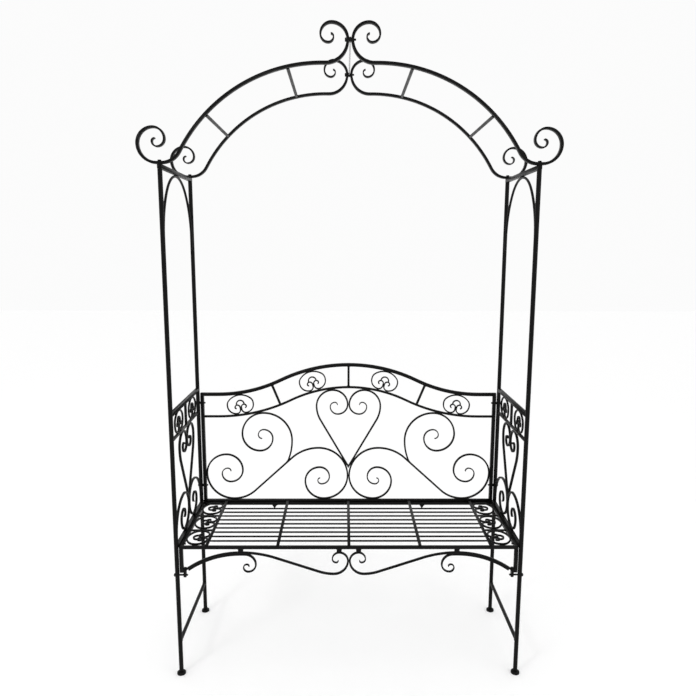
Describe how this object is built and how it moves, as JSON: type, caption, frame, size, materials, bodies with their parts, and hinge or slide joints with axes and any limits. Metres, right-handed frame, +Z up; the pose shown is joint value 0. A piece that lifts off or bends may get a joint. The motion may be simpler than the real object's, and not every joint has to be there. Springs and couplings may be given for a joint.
{
  "type": "garden arch with bench",
  "caption": "Steel garden arch with a bench seat under it; scrolled bars form the arch, back, arms and apron, and climbing plants can grow up its sides.",
  "frame": {"origin": "on the floor, midway between the four posts", "axes": "+X to the viewer's right along the seat, +Y to the back rest, +Z up; the open front faces -Y"},
  "size_m": [1.2304, 0.388, 2.0117],
  "materials": {
    "frame_black": "satin powder coat, charcoal black",
    "fastener_black": "semi-gloss black coated steel",
    "foot_black": "satin powder coat, scuffed at the rim",
    "zinc_rod": "bright zinc plated",
    "steel_insert": "plain steel"
  },
  "bodies": {
    "root": {"apron_curls": "frame_black", "apron_drop_bars": "frame_black", "apron_lugs": "frame_black", "apron_studs": "frame_black", "arch_bolts": "fastener_black", "arch_rungs": "frame_black", "arm_dividers": "frame_black", "arm_hearts": "frame_black", "arm_lower_rails": "frame_black", "arm_rings": "frame_black", "back_bottom_rail": "frame_black", "back_dividers": "frame_black", "back_rings": "frame_black", "back_second_rail": "frame_black", "back_top_rail": "frame_black", "crown_bolts": "fastener_black", "crown_tie_rod": "zinc_rod", "feet": "foot_black", "left_apron_scroll": "frame_black", "left_arm_rail": "frame_black", "left_arm_spirals": "frame_black", "left_back_branch_scroll": "frame_black", "left_back_heart_half": "frame_black", "left_back_s_scroll": "frame_black", "left_back_upright": "frame_black", "left_front_arch_bar": "frame_black", "left_front_post": "frame_black", "left_hoop": "frame_black", "left_leg_stretcher": "frame_black", "left_rear_arch_bar": "frame_black", "left_rear_post": "frame_black", "left_seat_bearer": "frame_black", "left_seat_end_rail": "frame_black", "left_top_crossbar": "frame_black", "panel_bolts": "fastener_black", "post_inserts": "steel_insert", "right_apron_scroll": "frame_black", "right_arm_rail": "frame_black", "right_arm_spirals": "frame_black", "right_back_branch_scroll": "frame_black", "right_back_heart_half": "frame_black", "right_back_s_scroll": "frame_black", "right_back_upright": "frame_black", "right_front_arch_bar": "frame_black", "right_front_post": "frame_black", "right_hoop": "frame_black", "right_leg_stretcher": "frame_black", "right_rear_arch_bar": "frame_black", "right_rear_post": "frame_black", "right_seat_bearer": "frame_black", "right_seat_end_rail": "frame_black", "right_top_crossbar": "frame_black", "seat_bars": "frame_black", "seat_end_bars": "frame_black", "seat_frame_bolts": "fastener_black", "seat_front_rail": "frame_black", "seat_lugs": "frame_black", "seat_rear_rail": "frame_black", "seat_rings": "frame_black", "seat_slats": "frame_black"}
  },
  "joints": []
}
